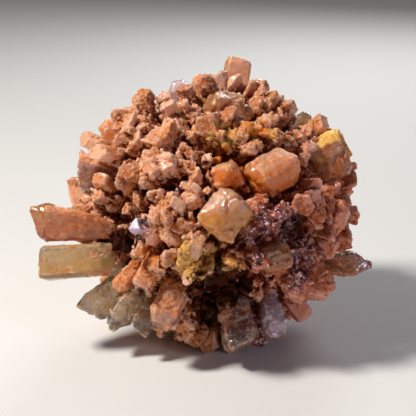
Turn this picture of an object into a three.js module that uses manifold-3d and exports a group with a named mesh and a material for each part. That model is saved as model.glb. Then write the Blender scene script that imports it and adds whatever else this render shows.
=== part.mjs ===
// Creedite cluster: a small ball of stubby prismatic crystals that radiate from one middle, as a
// three.js scene of named meshes. Units are millimetres, +Z is up, and the origin is on the resting
// surface, under the middle of the cluster. The small crystals and the clay between them have grown
// into one solid, the crystal mass. The large crystals that stand out of it are meshes of their own,
// each in a socket of the mass.
import * as THREE from "three";
import { ConvexGeometry } from "three/addons/geometries/ConvexGeometry.js";
import { mergeVertices } from "three/addons/utils/BufferGeometryUtils.js";
import Module from "manifold-3d";

const wasm = await Module();
wasm.setup();

// Driving dimensions
const MIDDLE_HEIGHT = 15.7; // from the resting surface to the point that the crystals radiate from
const TIP_RADII = new THREE.Vector3(16.9, 16.3, 16.3); // of the ball that the small crystals reach
const BODY_RADII = new THREE.Vector3(13.4, 12.9, 12.9); // of the clay and fused roots between them
const BODY_BELOW = 17.2; // how far the body reaches below the middle, before it is cut flat
const BODY_DETAIL = 3; // how finely the body's surface is divided
const BODY_LUMP = 0.06; // how far its lumps stand out, as a share of its radius
const SOCKET_GAP = 0.3; // all round a large crystal, where the mass holds it
const VIEW_DOWN = THREE.MathUtils.degToRad(18); // how steeply the viewer of the places below looks down

// The small crystals. A pair is the least and the most.
const SMALL_COUNT = 200;
const SMALL_WIDTH = [2.0, 3.9];
const SMALL_FLATNESS = [0.6, 0.95]; // depth over width
const SMALL_TAPER = [0.7, 1.0];
const SMALL_ROOT = 9.5; // distance of a root from the middle
const SMALL_REACH_SPREAD = 0.065; // how far a tip may be in or out of the ball, as a share
const SMALL_DIRECTION_SPREAD = 0.11;
const SMALL_LEAN = 1.6; // how far a root may be from the line through the middle
const SMALL_ENDS = ["broken", "slanted", "broken", "dome", "broken", "chisel", "broken", "point"];
const SMALL_FOUR_SIDED = 0.75; // share of them with four sides instead of six
const CROWDING = 0.2; // how far a small crystal's tip may reach into a placed crystal's side
const SEED = 20260;

const middle = new THREE.Vector3(0, 0, MIDDLE_HEIGHT);
const toRight = new THREE.Vector3(1, 0, 0);
const toTop = new THREE.Vector3(0, Math.sin(VIEW_DOWN), Math.cos(VIEW_DOWN));
const toViewer = new THREE.Vector3(0, -Math.cos(VIEW_DOWN), Math.sin(VIEW_DOWN));

// How a crystal ends: the length of its sloping end, what is left of its width and depth there, and
// how far the end face tilts across the width and the depth.
const ENDS = {
  broken: { length: 0, width: 0.92, depth: 0.9, tiltWidth: 0.3, tiltDepth: -0.24 },
  blunt: { length: 0.5, width: 0.82, depth: 0.78, tiltWidth: 0.12, tiltDepth: 0.1 },
  slanted: { length: 0.9, width: 0.78, depth: 0.7, tiltWidth: -0.38, tiltDepth: 0.15 },
  chisel: { length: 1.5, width: 0.7, depth: 0.16, tiltWidth: 0.14, tiltDepth: 0 },
  ridge: { length: 0.8, width: 0.84, depth: 0.18, tiltWidth: 0.2, tiltDepth: 0 },
  dome: { length: 1.1, width: 0.56, depth: 0.52, tiltWidth: 0.1, tiltDepth: -0.1 },
  point: { length: 2.1, width: 0.2, depth: 0.2, tiltWidth: 0, tiltDepth: 0 },
};

const LOOKS = {
  clay: { color: 0xb8704e, roughness: 0.9 },
  straw: { color: 0xd9b98a, roughness: 0.2 },
  peach: { color: 0xd9936c, roughness: 0.3 },
  orange: { color: 0xb5622e, roughness: 0.25 },
  amber: { color: 0xc8641c, roughness: 0.2 },
  ochre: { color: 0xd0a04a, roughness: 0.6 },
  clear: { color: 0xa89c84, roughness: 0.12 },
  rose: { color: 0xb98078, roughness: 0.35 },
};

// The large crystals. tip and root are places as a viewer in front sees them: to the right of the
// middle, above it and nearer than it. size is width, depth and taper, which is the root's size as a
// share of the full section, and roll turns the section about the crystal's own line, in degrees.
const LARGE = [
  { name: "left_prism", look: "straw", tip: [-20.6, -6.4, 6.4], root: [-9.0, -5.6, 5.9],
    size: [4.1, 2.8, 0.9], roll: 8, end: "blunt" },
  { name: "left_blade", look: "orange", tip: [-21.1, -1.4, 6], root: [-9.4, -2.5, 6.6],
    size: [4.6, 2.4, 0.28], roll: -16, end: "slanted" },
  { name: "left_knob", look: "rose", tip: [-15.8, 5.0, 6.6], root: [-7.2, 1.9, 3.6],
    size: [4.6, 4.8, 0.6], roll: -18, end: "slanted" },
  { name: "shoulder_tooth", look: "peach", tip: [-13.4, 10.4, 4.4], root: [-6.6, 5.8, 3.0],
    size: [2.5, 2.2, 0.8], roll: 10, end: "dome" },
  { name: "violet_point", look: "rose", tip: [-4.3, 15.7, 3.5], root: [-2.0, 7.4, 2.2],
    size: [2.6, 2.4, 0.7], roll: 0, end: "dome" },
  { name: "top_left_prism", look: "peach", tip: [-1.0, 17.0, 0], root: [-0.6, 7.8, -0.5],
    size: [3.4, 2.8, 0.6], roll: 0, end: "dome" },
  { name: "top_prism", look: "peach", tip: [3.3, 19.2, -3.6], root: [1.9, 8.0, -3.4],
    size: [3.4, 2.7, 0.75], roll: 5, end: "blunt" },
  { name: "top_right_prism", look: "peach", tip: [6.1, 16.4, -2.5], root: [4.6, 7.6, -1.5],
    size: [2.5, 2.3, 0.7], roll: 0, end: "dome" },
  { name: "crown_crystal", look: "orange", tip: [1.8, 13.5, 8.8], root: [0.8, 5.6, 4.6],
    size: [5.7, 4.0, 0.5], roll: 0, end: "dome" },
  { name: "upper_right_prism", look: "straw", tip: [11.6, 11.9, 1.2], root: [8.4, 5.4, 0.4],
    size: [1.9, 1.7, 0.8], roll: 0, end: "dome" },
  { name: "yellow_block", look: "ochre", tip: [15.9, 7.3, 5], root: [8.4, 3.6, 3],
    size: [5.5, 4.4, 0.6], roll: 12, end: "blunt" },
  { name: "amber_crystal", look: "amber", tip: [7.7, 4.8, 14.0], root: [4.2, 2.7, 7.8],
    size: [5.6, 4.6, 0.5], roll: 24, end: "ridge" },
  { name: "peach_crystal", look: "peach", tip: [1.8, 4.6, 15.9], root: [1.0, 2.8, 9.0],
    size: [3.5, 3.0, 0.5], roll: 20, end: "point" },
  { name: "center_crystal", look: "peach", tip: [1.4, -0.5, 17.6], root: [0.9, -0.8, 9.6],
    size: [5.2, 4.8, 0.5], roll: 52, end: "ridge" },
  { name: "lower_amber", look: "orange", tip: [7.8, -5.8, 13.4], root: [4.6, -3.4, 7.6],
    size: [3.9, 3.2, 0.6], roll: 20, end: "dome" },
  { name: "front_finger", look: "rose", tip: [-6.2, -13.4, 10.0], root: [-3.0, -6.0, 8.2],
    size: [3.7, 3.2, 0.6], roll: 0, end: "dome" },
  { name: "left_bar", look: "rose", tip: [-8.3, -9.0, 11.4], root: [-5.8, -3.8, 9.2],
    size: [2.5, 2.1, 0.75], roll: 0, end: "blunt" },
  { name: "left_tablet", look: "rose", tip: [-11.3, -9.2, 9.8], root: [-7.9, -4.9, 8.4],
    size: [2.0, 1.2, 0.5], roll: 20, end: "dome" },
  { name: "clear_blade", look: "clear", tip: [-15.2, -12.5, 3], root: [-9.0, -7.0, 0.8],
    size: [3.8, 2.2, 0.5], roll: 10, end: "slanted" },
  { name: "clear_point", look: "clear", tip: [-12.2, -14.5, 6], root: [-7.6, -7.4, 3.2],
    size: [3.0, 2.6, 0.5], roll: 0, end: "point" },
  { name: "clear_tablet", look: "clear", tip: [-8.8, -14.5, 7.2], root: [-5.2, -7.2, 4.2],
    size: [3.1, 2.0, 0.5], roll: -15, end: "chisel" },
  { name: "lower_crystal", look: "rose", tip: [3.4, -15.8, 8], root: [1.4, -7.6, 4.6],
    size: [4.2, 3.4, 0.5], roll: 0, end: "slanted" },
  { name: "lower_glint", look: "rose", tip: [7.8, -15.0, 7], root: [4.8, -6.8, 3.8],
    size: [3.2, 2.6, 0.5], roll: -30, end: "chisel" },
  { name: "right_spur", look: "straw", tip: [19.5, -6.8, 2], root: [8.8, -6.2, 1],
    size: [3.1, 2.3, 0.8], roll: 0, end: "point" },
  { name: "back_left_prism", look: "peach", tip: [-12.6, 2.0, -14], root: [-6.4, 1.0, -7.1],
    size: [3.6, 2.8, 0.6], roll: 0, end: "blunt" },
  { name: "back_blade", look: "orange", tip: [4.6, 6.4, -17.0], root: [2.3, 3.2, -8.5],
    size: [4.3, 2.2, 0.5], roll: 25, end: "slanted" },
  { name: "back_right_block", look: "straw", tip: [13.2, -1.2, -12.8], root: [7.0, -0.6, -6.8],
    size: [4.0, 3.2, 0.6], roll: -20, end: "blunt" },
  { name: "back_low_point", look: "clear", tip: [-3.4, -5.6, -17], root: [-1.7, -2.8, -8.5],
    size: [3.2, 2.6, 0.5], roll: 0, end: "point" },
  { name: "back_top_stub", look: "rose", tip: [-4.6, 11.8, -12.6], root: [-2.3, 5.9, -6.3],
    size: [3.4, 2.8, 0.6], roll: 15, end: "dome" },
];

// Crystals that have grown into the mass but have a place of their own on it
const FUSED = [
  { tip: [-18, 2.4, -2], root: [-9, 1.2, -1], size: [4.5, 2.6, 0.8], roll: 10, end: "slanted" },
  { tip: [-11.7, 11.5, -3], root: [-6, 5.9, -2], size: [3.4, 2.8, 0.8], roll: 0, end: "dome" },
  { tip: [-6.4, 14.8, 1], root: [-3.6, 8.4, 0.5], size: [1.5, 1.2, 0.9], roll: 0, end: "point" },
  { tip: [5.9, 15, 0.5], root: [3.4, 7.6, 0.2], size: [2.8, 2.2, 0.8], roll: 0, end: "point" },
  { tip: [8.1, 13.7, 0], root: [5.2, 7.6, 0], size: [2.3, 2, 0.9], roll: 0, end: "dome" },
  { tip: [9.9, 11.9, 0.4], root: [6.6, 7, 0], size: [2, 1.8, 0.9], roll: 0, end: "broken" },
  { tip: [17.7, 5.5, 1], root: [9, 2.8, 0.5], size: [2.6, 2.2, 0.9], roll: 20, end: "point" },
  { tip: [3.1, 8.6, 11.4], root: [2, 5, 6.8], size: [3.6, 3, 0.7], roll: 0, end: "dome" },
  { tip: [7.2, 9, 9.8], root: [4.6, 5.4, 5.8], size: [3.2, 2.6, 0.8], roll: 0, end: "slanted" },
  { tip: [-6.4, 8.6, 11], root: [-3.8, 5.2, 6.6], size: [3.4, 3, 0.8], roll: 40, end: "broken" },
  { tip: [-4, 11, 9.6], root: [-2.2, 6.4, 5.6], size: [3.2, 2.8, 0.8], roll: 15, end: "broken" },
  { tip: [-1.6, 11.9, 8.2], root: [-1, 6.4, 4.6], size: [1.9, 1.7, 0.9], roll: 0, end: "broken" },
  { tip: [-7.6, 5, 13.6], root: [-4.4, 2.9, 8], size: [3.8, 3.2, 0.8], roll: 30, end: "dome" },
  { tip: [-4.7, 5.4, 14.2], root: [-3, 3.1, 8.8], size: [1.7, 2.4, 0.9], roll: 0, end: "slanted" },
  { tip: [-2.4, 6.6, 13.6], root: [-1.4, 4.2, 8.4], size: [2.4, 2, 0.8], roll: 0, end: "point" },
  { tip: [11.4, 0.8, 11.4], root: [6.8, 0.6, 6.8], size: [3.6, 3.2, 0.8], roll: 20, end: "broken" },
  { tip: [14.6, 0.4, 7.6], root: [8.6, 0.3, 4.5], size: [2.9, 2.7, 0.8], roll: 0, end: "dome" },
  { tip: [14.3, -2.5, 8], root: [8.4, -1.5, 4.7], size: [2.2, 2, 0.9], roll: 0, end: "blunt" },
  { tip: [14.4, -4.8, 7.4], root: [8.4, -2.8, 4.3], size: [2.6, 2.3, 0.9], roll: 25, end: "blunt" },
  { tip: [13.9, -9.9, 5.8], root: [7.6, -5.4, 3.2], size: [4.3, 3.4, 0.8], roll: 0, end: "dome" },
  { tip: [11.4, -13.3, 2], root: [6.8, -7.4, 1], size: [2.5, 2.1, 0.9], roll: 0, end: "blunt" },
  { tip: [5.4, -15.8, 3.4], root: [3.2, -9, 2], size: [2, 1.6, 0.9], roll: 0, end: "slanted" },
  { tip: [-2.4, -16.2, 4], root: [-1.4, -9, 2.2], size: [3.2, 2.8, 0.8], roll: 0, end: "dome" },
  { tip: [-1.2, -7.8, 14.2], root: [-0.8, -3.2, 9], size: [2.2, 1.8, 1], roll: 10, end: "slanted" },
  { tip: [-3.7, -6.6, 14.2], root: [-2.2, -2, 9], size: [2.4, 1.8, 1], roll: -25, end: "slanted" },
  { tip: [2.5, -6.9, 14.4], root: [1.4, -3, 9], size: [2.8, 1.8, 0.9], roll: 0, end: "dome" },
  { tip: [-8.6, -1.9, 13.0], root: [-5, -1.1, 7.6], size: [2.6, 2.2, 0.8], roll: 30, end: "slanted" },
  { tip: [-7.7, -3.9, 12.8], root: [-4.4, -2.2, 7.4], size: [2.4, 1.6, 0.8], roll: 0, end: "point" },
  { tip: [-5.4, 0.8, 14.8], root: [-3, 0.4, 8.2], size: [2.6, 2.4, 0.8], roll: 15, end: "broken" },
  { tip: [-3.4, -1.9, 15.6], root: [-1.9, -1, 8.8], size: [2.8, 2.3, 0.7], roll: -20, end: "slanted" },
  { tip: [-5.8, -2.3, 14.2], root: [-3.4, -1.4, 8.4], size: [2.2, 1.9, 0.8], roll: 50, end: "broken" },
  { tip: [-2.6, -4.2, 15.2], root: [-1.5, -2.2, 9], size: [2.4, 2.0, 0.8], roll: 10, end: "broken" },
  { tip: [-2.5, 1.4, 15.6], root: [-1.4, 0.8, 9], size: [2.3, 2.1, 0.8], roll: 35, end: "dome" },
  { tip: [-6.9, -6.2, 12.8], root: [-3.8, -3.4, 7.2], size: [2.3, 1.9, 0.8], roll: 0, end: "broken" },
  { tip: [5.2, 0.6, 15.4], root: [3, 0.4, 8.8], size: [2.0, 1.8, 0.8], roll: 25, end: "dome" },
  { tip: [9.4, -8.4, 11.0], root: [5.2, -4.6, 6.2], size: [2.8, 2.2, 0.8], roll: 20, end: "broken" },
];

// Hollows in the body, where it is dark between the crystals
const HOLLOWS = [
  { place: [0.9, -10.9, 12.6], radius: 5.0 },
  { place: [-12.8, -4.2, 11.2], radius: 4.4 },
  { place: [9.6, -2.2, 12.4], radius: 2.8 },
  { place: [-8.0, -0.4, 13.0], radius: 2.2 },
];

// Random numbers that are the same on every run
let randomState = SEED;
function random() {
  randomState = (Math.imul(randomState, 1664525) + 1013904223) >>> 0;
  return randomState / 4294967296;
}
const between = ([least, most]) => least + (most - least) * random();
const spread = (most) => most * (2 * random() - 1);

// A place from how far it is to the right of the middle, above it and nearer than it
function seen([right, above, nearer]) {
  return middle
    .clone()
    .addScaledVector(toRight, right)
    .addScaledVector(toTop, above)
    .addScaledVector(toViewer, nearer);
}

// Directions across a crystal, for its width and its depth. The depth faces the viewer, or upwards
// on a crystal that points at the viewer, before the roll turns both.
function acrossDirections(along, roll) {
  const facing = Math.abs(along.dot(toViewer)) > 0.8 ? toTop : toViewer;
  const depthWay = facing.clone().addScaledVector(along, -along.dot(facing)).normalize();
  const widthWay = new THREE.Vector3().crossVectors(depthWay, along);
  const turn = new THREE.Quaternion().setFromAxisAngle(along, THREE.MathUtils.degToRad(roll));
  return [widthWay.applyQuaternion(turn), depthWay.applyQuaternion(turn)];
}

// Corners of a section of the crystal, as shares of half its width and half its depth: four or six
// for a small crystal, four for one that has grown in and eight for a large one.
const FOUR_CORNERS = [[1, 0.75], [-0.7, 1], [-1, -0.8], [0.8, -1]];
const SIX_CORNERS = [[1, 0], [0.5, 1], [-0.5, 1], [-1, 0], [-0.5, -1], [0.5, -1]];
const EIGHT_CORNERS = [
  [1, 0.5], [0.72, 1], [-0.8, 1], [-1, 0.6], [-1, -0.5], [-0.74, -1], [0.8, -1], [1, -0.62],
];

// A crystal as a convex solid: one section at the root, one where the sloping end begins and one
// at the tip. grow makes it larger on every side.
function crystalGeometry({ tip, root, size: [width, depth, taper], roll, end, corners }, grow = 0) {
  const along = tip.clone().sub(root).normalize();
  const [widthWay, depthWay] = acrossDirections(along, roll);
  const length = tip.distanceTo(root);
  const shape = ENDS[end];
  const endLength = Math.min(shape.length * (width / 3), length * 0.5);
  const points = [];
  const addSection = (distance, widthShare, depthShare, tiltWidth, tiltDepth) => {
    for (const [w, d] of corners) {
      const acrossWidth = w * ((width / 2) * widthShare + grow);
      const acrossDepth = d * ((depth / 2) * depthShare + grow);
      const reach = distance + tiltWidth * acrossWidth + tiltDepth * acrossDepth;
      points.push(
        root
          .clone()
          .addScaledVector(along, reach)
          .addScaledVector(widthWay, acrossWidth)
          .addScaledVector(depthWay, acrossDepth),
      );
    }
  };
  addSection(-grow, taper, taper, 0, 0);
  if (endLength > 0) addSection(length - endLength, 1, 1, 0, 0);
  addSection(length + grow, shape.width, shape.depth, shape.tiltWidth, shape.tiltDepth);
  return new ConvexGeometry(points);
}

// A closed geometry as a solid that can be joined and cut
function solidOf(geometry) {
  const bare = geometry.index ? geometry.toNonIndexed() : geometry.clone();
  bare.deleteAttribute("normal");
  bare.deleteAttribute("uv");
  const merged = mergeVertices(bare, 1e-4);
  return new wasm.Manifold(
    new wasm.Mesh({
      numProp: 3,
      vertProperties: merged.attributes.position.array,
      triVerts: new Uint32Array(merged.index.array),
    }),
  );
}

function geometryOf(solid) {
  const { vertProperties, triVerts } = solid.getMesh();
  const geometry = new THREE.BufferGeometry();
  geometry.setAttribute("position", new THREE.BufferAttribute(vertProperties, 3));
  geometry.setIndex(new THREE.BufferAttribute(triVerts, 1));
  const faceted = geometry.toNonIndexed();
  faceted.computeVertexNormals();
  return faceted;
}

// The lumpy body of clay and fused roots
function bodySolid(hollows) {
  const geometry = new THREE.IcosahedronGeometry(1, BODY_DETAIL);
  const places = geometry.attributes.position;
  const p = new THREE.Vector3();
  for (let i = 0; i < places.count; i++) {
    p.fromBufferAttribute(places, i);
    const lump =
      Math.sin(4.1 * p.x + 1.3) * Math.sin(4.7 * p.y + 0.4) +
      Math.sin(6.3 * p.z + 2.1) * Math.sin(5.9 * p.x - 0.8) +
      Math.sin(8.2 * p.y - 1.1) * Math.sin(7.6 * p.z + 0.6);
    p.multiply(BODY_RADII).multiplyScalar(1 + BODY_LUMP * lump);
    const below = Math.max(0, -p.z / BODY_RADII.z);
    p.z *= 1 + (BODY_BELOW / BODY_RADII.z - 1) * below * below;
    p.add(middle);
    places.setXYZ(i, p.x, p.y, p.z);
  }
  const scoops = hollows.map(({ place, radius }) =>
    solidOf(new THREE.IcosahedronGeometry(radius, 1).translate(place.x, place.y, place.z)),
  );
  return solidOf(geometry).subtract(wasm.Manifold.union(scoops));
}

// True if a small crystal would run into a placed one and hide it
function crowds(small, placedCrystal) {
  const line = new THREE.Line3(placedCrystal.root, placedCrystal.tip);
  const nearest = line.closestPointToPoint(small.tip, true, new THREE.Vector3());
  return nearest.distanceTo(small.tip) < (placedCrystal.size[0] + small.size[0]) / 2 - CROWDING;
}

// The small crystals, spread evenly over the ball by the golden angle
function smallCrystals(placedCrystals, hollows) {
  const goldenAngle = Math.PI * (3 - Math.sqrt(5));
  const kept = [];
  for (let i = 0; i < SMALL_COUNT; i++) {
    const height = 1 - (2 * i + 1) / SMALL_COUNT;
    const ring = Math.sqrt(1 - height * height);
    const out = new THREE.Vector3(
      ring * Math.cos(i * goldenAngle) + spread(SMALL_DIRECTION_SPREAD),
      ring * Math.sin(i * goldenAngle) + spread(SMALL_DIRECTION_SPREAD),
      height + spread(SMALL_DIRECTION_SPREAD),
    ).normalize();
    const tip = out
      .clone()
      .multiply(TIP_RADII)
      .multiplyScalar(1 + spread(SMALL_REACH_SPREAD))
      .add(middle);
    const root = out.clone().multiplyScalar(SMALL_ROOT).add(middle);
    root.x += spread(SMALL_LEAN);
    root.y += spread(SMALL_LEAN);
    root.z += spread(SMALL_LEAN);
    const width = between(SMALL_WIDTH);
    const depth = width * between(SMALL_FLATNESS);
    const taper = between(SMALL_TAPER);
    const end = SMALL_ENDS[Math.floor(random() * SMALL_ENDS.length)];
    const roll = spread(180);
    const corners = random() < SMALL_FOUR_SIDED ? FOUR_CORNERS : SIX_CORNERS;
    const small = { tip, root, size: [width, depth, taper], roll, end, corners };
    const crowded = placedCrystals.some((crystal) => crowds(small, crystal));
    const fillsHollow = hollows.some(({ place, radius }) => place.distanceTo(tip) < radius);
    if (!crowded && !fillsHollow) kept.push(small);
  }
  return kept;
}

// The mass: body and small crystals joined, with a socket for each large crystal and a flat rest
function massSolid(large, fused, hollows) {
  const grown = [...smallCrystals([...large, ...fused], hollows), ...fused];
  const mass = wasm.Manifold.union([
    bodySolid(hollows),
    ...grown.map((crystal) => solidOf(crystalGeometry(crystal))),
  ]);
  const below = new THREE.BoxGeometry(100, 100, 50).translate(0, 0, -25);
  const cuts = wasm.Manifold.union([
    solidOf(below),
    ...large.map((crystal) => solidOf(crystalGeometry(crystal, SOCKET_GAP))),
  ]);
  const pieces = mass.subtract(cuts).decompose();
  return pieces.sort((a, b) => b.volume() - a.volume())[0];
}

function makeMesh(name, look, geometry) {
  const material = new THREE.MeshStandardMaterial({ ...LOOKS[look], metalness: 0 });
  const mesh = new THREE.Mesh(geometry, material);
  mesh.name = name;
  return mesh;
}

function placed(crystal, corners) {
  return { ...crystal, tip: seen(crystal.tip), root: seen(crystal.root), corners };
}

const large = LARGE.map((crystal) => placed(crystal, EIGHT_CORNERS));
const fused = FUSED.map((crystal) => placed(crystal, FOUR_CORNERS));
const hollows = HOLLOWS.map(({ place, radius }) => ({ place: seen(place), radius }));

const cluster = new THREE.Group();
cluster.add(makeMesh("crystal_mass", "clay", geometryOf(massSolid(large, fused, hollows))));
for (const crystal of large) {
  const geometry = crystalGeometry(crystal).translate(...crystal.root.clone().negate().toArray());
  const mesh = makeMesh(crystal.name, crystal.look, geometry);
  mesh.position.copy(crystal.root);
  cluster.add(mesh);
}

export default cluster;
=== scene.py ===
"""Looks of the creedite cluster.

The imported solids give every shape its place. The crystal mass is dressed as one crust: its flat
crystal faces, fine crystals and clay crumbs are joined, remeshed as one surface and roughened. Each
large crystal is remeshed with worn edges, growth lines and dust of its own.
"""

import itertools
import math

import bpy
import numpy as np
from mathutils import Matrix, Vector
from mathutils.bvhtree import BVHTree

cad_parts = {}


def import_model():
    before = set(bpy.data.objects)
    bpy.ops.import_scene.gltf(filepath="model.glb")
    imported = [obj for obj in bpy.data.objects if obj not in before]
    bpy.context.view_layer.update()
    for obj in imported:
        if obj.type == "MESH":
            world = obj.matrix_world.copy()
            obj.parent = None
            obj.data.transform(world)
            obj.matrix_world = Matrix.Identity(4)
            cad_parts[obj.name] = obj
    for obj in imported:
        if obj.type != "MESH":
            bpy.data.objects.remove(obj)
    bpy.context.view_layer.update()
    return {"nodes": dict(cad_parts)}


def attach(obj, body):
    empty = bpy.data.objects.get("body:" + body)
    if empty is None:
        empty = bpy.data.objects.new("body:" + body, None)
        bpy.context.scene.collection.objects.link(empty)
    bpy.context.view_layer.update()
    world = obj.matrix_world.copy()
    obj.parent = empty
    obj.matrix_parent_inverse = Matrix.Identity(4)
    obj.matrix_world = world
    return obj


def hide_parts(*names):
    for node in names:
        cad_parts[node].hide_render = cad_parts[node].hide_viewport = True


MM = 0.001
SEED = 41

# The camera and the middle that the crystals radiate from
MIDDLE = np.array([0.0, 0.0, 15.7 * MM])
VIEW_DOWN = math.radians(18)
CAMERA_DISTANCE = 144 * MM
LENS = 100.0
AIM_RIGHT = -0.62 * MM  # the photograph's centre, from the middle
AIM_UP = 0.25 * MM
TO_RIGHT = np.array([1.0, 0.0, 0.0])
TO_TOP = np.array([0.0, math.sin(VIEW_DOWN), math.cos(VIEW_DOWN)])
TO_VIEWER = np.array([0.0, -math.cos(VIEW_DOWN), math.sin(VIEW_DOWN)])

# The floor and the light. Each lamp has a name, a place that the viewer sees, a size in millimetres,
# a power in watts and a colour.
FLOOR_HALF = 3.0  # metres
FLOOR_COLOUR = (0.78, 0.77, 0.75)
LAMPS = [
    ("key", (-150, 180, 120), 40, 0.82, (1.0, 0.96, 0.9)),
    ("fill", (190, 10, 190), 34, 0.12, (0.74, 0.72, 1.0)),
    ("back", (60, 180, -160), 100, 0.2, (0.95, 0.97, 1.0)),
]
WORLD_COLOUR = (0.92, 0.9, 0.88)
WORLD_STRENGTH = 0.07

# The crust: the mass with fine crystals, drusy crystals, clay crumbs, and a collar of crumbs round
# each large crystal's foot
CRUST_VOXEL = 0.18 * MM
BALL_RADIUS = 16.6 * MM
FINE_COUNT = 1150
FINE_WIDTH = (0.35 * MM, 2.8 * MM)
FINE_LENGTH = (1.0 * MM, 3.6 * MM)
DRUSY_COUNT = 420
DRUSY_WIDTH = (0.4 * MM, 0.9 * MM)
CRUMB_COUNT = 3300
CRUMB_RADIUS = (0.17 * MM, 0.52 * MM)
COLLAR_COUNT = 2600
COLLAR_RADIUS = (0.2, 0.45)  # millimetres
COLLAR_REACH = 0.45 * MM
CRYSTAL_CLEARANCE = 0.5 * MM  # from a fine crystal to a large one
FINE_CLEARANCE = 1.5 * MM  # from a fine crystal to the floor
CRUMB_CLEARANCE = 0.7 * MM
CRUST_SECTORS = ("front", "right", "back", "left")
MASS_FACE, FINE_FACE, CRUMB_FACE, GLINT_FACE = 0, 1, 2, 3  # what a face is part of

# The large crystals
CRYSTAL_VOXEL = 0.19 * MM
CRYSTAL_IOR = 1.47
CRYSTAL_SCATTER = 1.7 * MM  # how far light spreads inside

# How much of the way a vertex of a remeshed surface goes back to the face that it came from
RETURN_SHARE = 0.85

# Colours of clay, rust, stains and frost, of the hollows, partly their own colour and partly painted
# shade, and of painted highlights on edges and glints
RUST = (0.64, 0.17, 0.015)
ORANGE_BROWN_SHADE = (0.46, 0.125, 0.025)
RED_BROWN_SHADE = (0.15, 0.028, 0.005)
BRICK_RED = (0.38, 0.10, 0.035)
DARK_OCHRE_SHADE = (0.16, 0.04, 0.006)
AMBER = (0.66, 0.17, 0.012)
PALE_PINK = (0.82, 0.47, 0.35)
PINK_WHITE_FROST_AND_HIGHLIGHT = (0.88, 0.58, 0.44)
EDGE_HIGHLIGHT_CREAM = (0.96, 0.82, 0.68)
PALE_PEACH = (0.95, 0.68, 0.46)
GLINT_SILVER = (0.90, 0.84, 0.92)
GLINT_HIGHLIGHT_LILAC = (0.76, 0.60, 0.76)
GLINT_LILAC_WHITE = (0.92, 0.80, 0.95)
DARK_WINE = (0.11, 0.020, 0.015)
WINE = (0.36, 0.10, 0.045)

# What the redder side multiplies its colour by, partly a redder clay and partly painted shade, and
# the painted shade that darkens the recesses
WINE_SHADE = (0.96, 0.74, 0.76)
RECESS_SHADE = (0.38, 0.28, 0.24)

# Colours by a number from 0 to 1, as positions and colours
PINK_CLAY = [(0.34, (0.45, 0.16, 0.065)), (0.5, (0.59, 0.26, 0.125)), (0.66, (0.77, 0.41, 0.25))]
ORANGE_CLAY = [(0.34, (0.42, 0.12, 0.03)), (0.5, (0.58, 0.19, 0.055)), (0.66, (0.72, 0.31, 0.12))]
OCHRE_CLAY = [(0.34, (0.56, 0.24, 0.04)), (0.66, (0.90, 0.58, 0.17))]
CLEAN_CRYSTAL = [(0.25, (0.42, 0.11, 0.03)), (0.5, (0.70, 0.25, 0.09)), (0.75, (0.86, 0.46, 0.29))]

# How each look of crystal shows: its colour near the tip and deep down, where deep down is also
# painted glow and shade on low and downward faces, how clear it is where it is clean, the colour and
# strength of what it absorbs inside, how rough its clean faces are, how rusty it is, how many flecks
# of painted glint it has, and how pale its edges are painted as highlight.
LOOKS = {
    "straw": dict(
        tip=(0.62, 0.55, 0.42), deep=(0.70, 0.42, 0.15), clear=0.8, rough=0.06,
        absorb=(0.96, 0.76, 0.52), density=180, rust=0.85, painted_glints=0.15, edge_highlight=0.9,
    ),
    "peach": dict(
        tip=(0.87, 0.50, 0.33), deep=(0.97, 0.37, 0.06), clear=0.45, rough=0.12,
        absorb=(0.98, 0.62, 0.32), density=90, rust=0.6, painted_glints=0.1, edge_highlight=0.5,
    ),
    "orange": dict(
        tip=(0.58, 0.26, 0.10), deep=(0.62, 0.16, 0.02), clear=0.5, rough=0.1,
        absorb=(0.98, 0.46, 0.16), density=90, rust=0.8, painted_glints=0.1, edge_highlight=0.4,
    ),
    "amber": dict(
        tip=(0.82, 0.44, 0.28), deep=(1.0, 0.25, 0.012), clear=0.3, rough=0.12,
        absorb=(0.99, 0.50, 0.12), density=110, rust=0.5, painted_glints=0.1, edge_highlight=0.5,
    ),
    "ochre": dict(
        tip=(0.54, 0.20, 0.05), deep=(0.38, 0.10, 0.02), clear=0.1, rough=0.2,
        absorb=(0.98, 0.62, 0.24), density=120, rust=0.6, painted_glints=0.0, edge_highlight=0.3,
    ),
    "clear": dict(
        tip=(0.60, 0.53, 0.42), deep=(0.44, 0.30, 0.16), clear=0.85, rough=0.05,
        absorb=(0.91, 0.80, 0.63), density=240, rust=0.5, painted_glints=0.8, edge_highlight=0.9,
    ),
    "smoky": dict(
        tip=(0.34, 0.22, 0.18), deep=(0.46, 0.14, 0.035), clear=0.6, rough=0.06,
        absorb=(0.94, 0.66, 0.48), density=200, rust=0.6, painted_glints=0.7, edge_highlight=0.5,
    ),
    # Its pale tip colour is partly the crystal's own lilac and partly painted highlight
    "lilac": dict(
        tip=(0.76, 0.58, 0.68), deep=(0.24, 0.07, 0.05), clear=0.4, rough=0.05,
        absorb=(0.92, 0.60, 0.58), density=140, rust=0.4, painted_glints=0.9, edge_highlight=0.6,
    ),
    # Its pale tip colour is partly the crystal's own violet and partly painted highlight
    "violet": dict(
        tip=(0.82, 0.68, 0.80), deep=(0.56, 0.30, 0.28), clear=0.35, rough=0.05,
        absorb=(0.92, 0.66, 0.70), density=100, rust=0.2, painted_glints=0.6, edge_highlight=0.6,
    ),
    "rose": dict(
        tip=(0.74, 0.42, 0.31), deep=(0.34, 0.09, 0.035), clear=0.35, rough=0.12,
        absorb=(0.95, 0.60, 0.45), density=90, rust=0.4, painted_glints=0.15, edge_highlight=0.5,
    ),
}

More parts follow.
